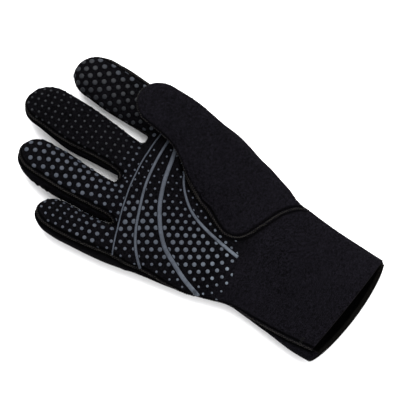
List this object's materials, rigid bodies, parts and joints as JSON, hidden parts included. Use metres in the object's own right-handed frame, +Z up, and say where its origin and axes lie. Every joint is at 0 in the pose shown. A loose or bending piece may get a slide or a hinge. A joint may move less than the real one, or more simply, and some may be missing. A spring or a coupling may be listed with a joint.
{
  "type": "diving glove",
  "caption": "Right-hand five-finger neoprene glove with a long open cuff, a dotted and striped grip palm, and the thumb folded over the palm.",
  "frame": {"origin": "on the table, on the flat of the back panel under the palm (mount rest_face), near the middle of the palm", "axes": "+X to the thumb side, +Y to the fingertips, +Z up out of the palm"},
  "size_m": [0.1382, 0.2863, 0.0397],
  "materials": {
    "palm_neoprene": "near-black jersey-faced neoprene with a grip print",
    "neoprene": "near-black jersey-faced neoprene, matt with a soft sheen",
    "grip_print": "matt blue-grey silicone print, slightly raised"
  },
  "bodies": {
    "root": {"palm_panel": "palm_neoprene", "back_panel": "neoprene", "thumb_outer_panel": "neoprene", "thumb_inner_panel": "neoprene", "grip_stripe_1": "grip_print", "grip_stripe_2": "grip_print", "grip_stripe_3": "grip_print", "grip_stripe_4": "grip_print"}
  },
  "joints": []
}
